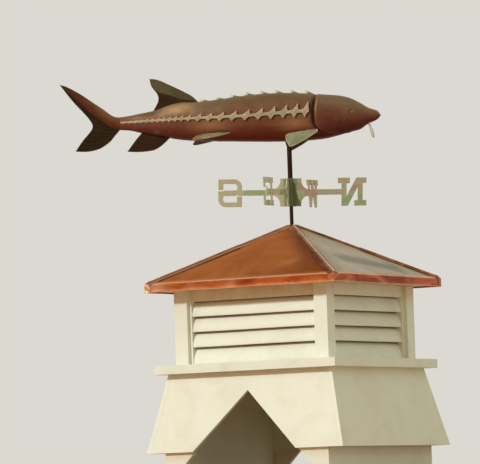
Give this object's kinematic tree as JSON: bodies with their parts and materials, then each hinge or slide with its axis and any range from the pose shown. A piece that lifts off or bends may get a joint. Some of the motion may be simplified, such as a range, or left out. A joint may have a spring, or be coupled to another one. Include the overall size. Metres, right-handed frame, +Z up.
{
  "type": "barn cupola with weathervane",
  "caption": "Louvred barn cupola with a flared base that sits astride a roof ridge, a copper pyramid roof and a sturgeon weathervane that turns over compass arms.",
  "frame": {"origin": "plan centre of the cupola at the level of the base's lowest corners", "axes": "+Z up, Y along the roof ridge, +X to the side that faces down the slope on the right of the picture"},
  "size_m": [1.3402, 0.9859, 1.786],
  "materials": {
    "painted_wood": "cream exterior paint, satin",
    "roof_copper": "brown weathered copper sheet",
    "drip_copper": "bright folded copper",
    "fish_copper": "dark brown patinated copper",
    "verdigris": "pale green weathered copper",
    "pale_verdigris": "pale weathered copper",
    "dark_iron": "black-brown rod"
  },
  "bodies": {
    "cupola": {"curb_front": "painted_wood", "curb_back": "painted_wood", "curb_left": "painted_wood", "curb_right": "painted_wood", "skirt_front": "painted_wood", "skirt_back": "painted_wood", "skirt_left": "painted_wood", "skirt_right": "painted_wood", "ledge_front": "painted_wood", "ledge_back": "painted_wood", "ledge_left": "painted_wood", "ledge_right": "painted_wood", "corner_front_left": "painted_wood", "corner_front_right": "painted_wood", "corner_back_left": "painted_wood", "corner_back_right": "painted_wood", "header_front": "painted_wood", "header_back": "painted_wood", "header_left": "painted_wood", "header_right": "painted_wood", "louvers_front": "painted_wood", "louvers_back": "painted_wood", "louvers_left": "painted_wood", "louvers_right": "painted_wood", "soffit": "painted_wood", "roof_deck": "painted_wood", "roof_sheets": "roof_copper", "hip_caps": "roof_copper", "drip_edges": "drip_copper", "mast_rod": "dark_iron", "compass_hub": "verdigris", "arm_north": "verdigris", "arm_south": "verdigris", "arm_east": "verdigris", "arm_west": "verdigris"},
    "vane": {"vane_sleeve": "dark_iron", "fish_body": "fish_copper", "tail_fin": "fish_copper", "back_fin": "verdigris", "anal_fin": "verdigris", "pectoral_fins": "verdigris", "pelvic_fins": "verdigris", "back_scutes": "pale_verdigris", "side_scutes": "pale_verdigris", "barbels": "pale_verdigris", "eyes": "dark_iron"}
  },
  "joints": [
    {"name": "vane_swivel", "type": "hinge", "parent": "cupola", "child": "vane", "pos_m": [0, 0, 1.4], "axis": [0, 0, 1], "continuous": true}
  ]
}
